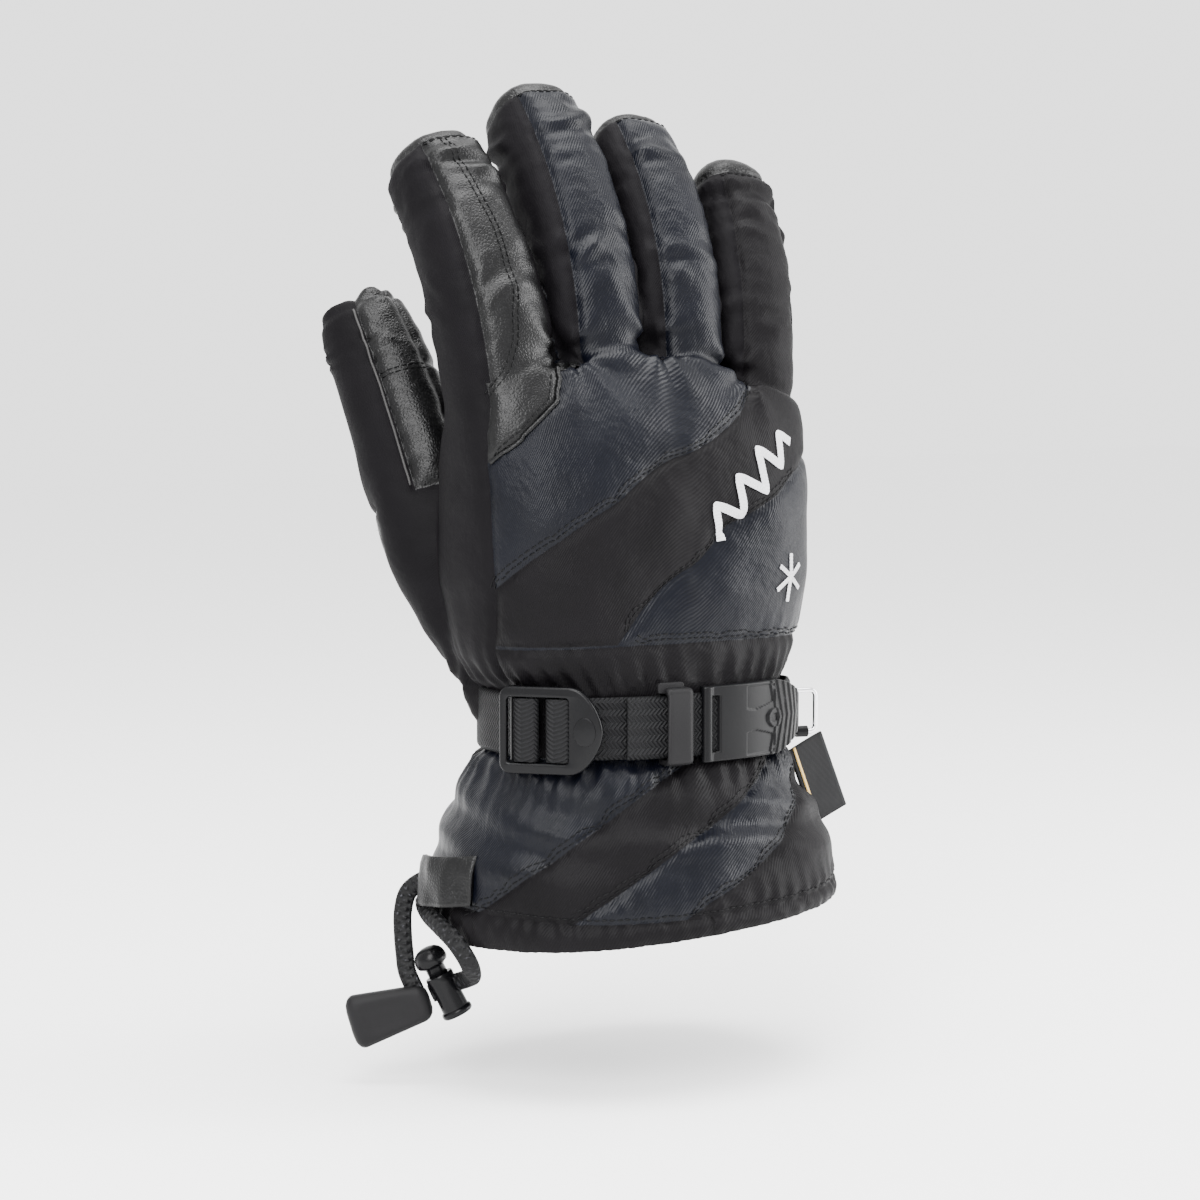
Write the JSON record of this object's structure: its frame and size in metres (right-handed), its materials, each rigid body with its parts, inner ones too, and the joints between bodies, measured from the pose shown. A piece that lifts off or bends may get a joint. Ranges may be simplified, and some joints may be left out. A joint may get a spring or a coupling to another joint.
{
  "type": "ski glove",
  "caption": "Insulated gauntlet ski glove for the right hand, with a buckled wrist strap, a clip and a hem drawcord.",
  "frame": {"origin": "centre of the cuff mouth, at the level of the hem", "axes": "+Z to the fingertips, +X to the little finger, -Y out of the back of the hand, +Y out of the palm"},
  "size_m": [0.1754, 0.1397, 0.3133],
  "materials": {
    "shell_navy": "glossy twill",
    "shell_charcoal": "satin twill",
    "softshell": "matt stretch",
    "leather": "grained",
    "lining": "brushed tricot",
    "insert_film": "matt film",
    "wadding": "fibre fill",
    "webbing": "woven",
    "hard_plastic": "satin moulded",
    "rubber": "soft moulded",
    "chrome_wire": "polished",
    "spring_steel": "drawn wire",
    "label_cloth": "woven satin",
    "braid": "flat braid",
    "thread": "twisted",
    "embroidery": "satin stitch"
  },
  "bodies": {
    "hand": {"back_upper_panel": "shell_navy", "knuckle_leather": "leather", "back_band": "shell_charcoal", "back_lower_panel": "shell_navy", "wrist_back_panel": "shell_charcoal", "wrist_elastic_panel": "shell_charcoal", "thumb_side_panel": "softshell", "little_side_panel": "shell_charcoal", "palm_leather": "leather", "cuff_thumb_panel": "shell_navy", "cuff_front_panel": "shell_charcoal", "cuff_side_panel": "shell_navy", "cuff_palm_panel": "shell_charcoal", "hem_band": "shell_charcoal", "waterproof_insert": "insert_film", "insulation": "wadding", "hand_lining": "lining", "thumb_base": "softshell", "strap_anchor": "webbing", "strap_webbing": "webbing", "strap_tail": "webbing", "clip_loop": "webbing", "side_label": "label_cloth", "cord_tab": "leather", "drawcord_front": "braid", "drawcord_rear": "braid", "lock_barrel": "hard_plastic", "lock_spring": "spring_steel", "cord_end_pull": "rubber"},
    "index": {"index_back": "leather", "index_palm": "leather", "index_sides": "softshell", "index_tip": "leather", "index_lining": "lining"},
    "middle": {"middle_back": "shell_navy", "middle_palm": "leather", "middle_sides": "softshell", "middle_tip": "leather", "middle_lining": "lining"},
    "ring": {"ring_back": "shell_navy", "ring_palm": "leather", "ring_sides": "softshell", "ring_tip": "leather", "ring_lining": "lining"},
    "little": {"little_back": "shell_charcoal", "little_palm": "leather", "little_sides": "softshell", "little_tip": "leather", "little_lining": "lining"},
    "thumb": {"thumb_outer": "softshell", "thumb_inner": "leather", "thumb_lining": "lining"},
    "buckle": {"buckle_frame": "hard_plastic", "webbing_wraps": "webbing"},
    "keeper": {"strap_keeper": "rubber"},
    "pull_tab": {"pull_tab": "rubber"},
    "clip": {"clip_ring": "chrome_wire", "clip_collar": "hard_plastic"},
    "plunger": {"lock_plunger": "hard_plastic"}
  },
  "joints": [
    {"name": "index_flex", "type": "hinge", "parent": "hand", "child": "index", "pos_m": [-0.0454, 0.003, 0.1786], "axis": [-1, 0, 0], "range_deg": [0, 25]},
    {"name": "middle_flex", "type": "hinge", "parent": "hand", "child": "middle", "pos_m": [-0.0114, 0.003, 0.1866], "axis": [-1, 0, 0], "range_deg": [0, 60]},
    {"name": "ring_flex", "type": "hinge", "parent": "hand", "child": "ring", "pos_m": [0.0216, 0.003, 0.1826], "axis": [-1, 0, 0], "range_deg": [0, 60]},
    {"name": "little_flex", "type": "hinge", "parent": "hand", "child": "little", "pos_m": [0.0523, 0.003, 0.1706], "axis": [-1, 0, 0], "range_deg": [0, 55]},
    {"name": "thumb_flex", "type": "hinge", "parent": "hand", "child": "thumb", "pos_m": [-0.05328, 0.03982, 0.1345], "axis": [0.5059, 0.8034, -0.3141], "range_deg": [-8, 9]},
    {"name": "buckle_tilt", "type": "hinge", "parent": "hand", "child": "buckle", "pos_m": [-0.05042, -0.01521, 0.066], "axis": [0, 0, -1], "range_deg": [0, 30]},
    {"name": "keeper_slide", "type": "slide", "parent": "hand", "child": "keeper", "axis": [0.9972, -0.0747, 0], "range_m": [-0.0015, 0.0015]},
    {"name": "pull_tab_lift", "type": "hinge", "parent": "hand", "child": "pull_tab", "pos_m": [0.0014, -0.04204, 0.066], "axis": [0, 0, -1], "range_deg": [0, 60]},
    {"name": "clip_swing", "type": "hinge", "parent": "hand", "child": "clip", "pos_m": [0.06019, -0.01207, 0.063], "axis": [0, 0, 1], "range_deg": [-40, 40]},
    {"name": "plunger_press", "type": "slide", "parent": "hand", "child": "plunger", "axis": [0.3755, -0.2439, -0.8942], "range_m": [0, 0.0035], "stiffness_N_per_m": 300, "springref_m": -0.004}
  ]
}
